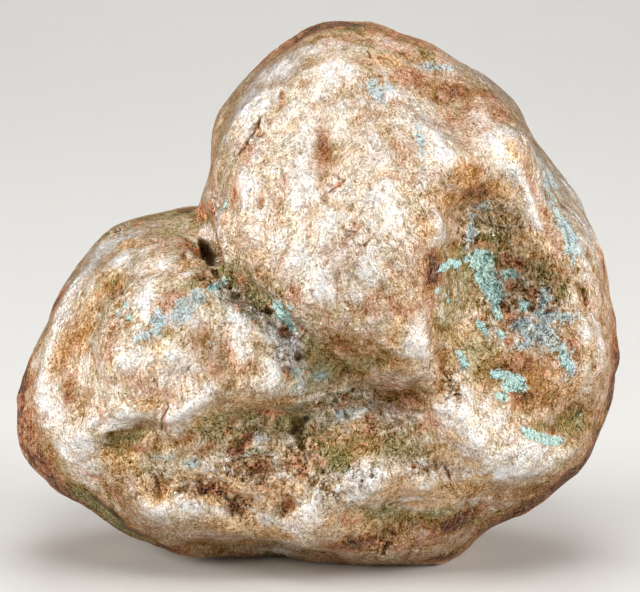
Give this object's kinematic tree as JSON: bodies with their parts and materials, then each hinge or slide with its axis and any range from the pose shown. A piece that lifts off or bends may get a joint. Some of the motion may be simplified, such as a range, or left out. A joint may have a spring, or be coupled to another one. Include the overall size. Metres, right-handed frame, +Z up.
{
  "type": "native copper nugget",
  "caption": "Water-worn nugget of native copper with two rounded lobes, a fissure between them and green and blue patina, standing on its worn foot.",
  "frame": {"origin": "under the middle of the box, on the surface that the nugget stands on", "axes": "+Z up; the broad face with the fissure looks along -Y; +X towards the taller right lobe's flank; the nugget's width lies along X"},
  "size_m": [0.09, 0.057, 0.08],
  "materials": {
    "worn_copper": "worn native copper, satin, with brown oxide and thin green and blue patina"
  },
  "bodies": {
    "root": {"copper_nugget": "worn_copper"}
  },
  "joints": []
}
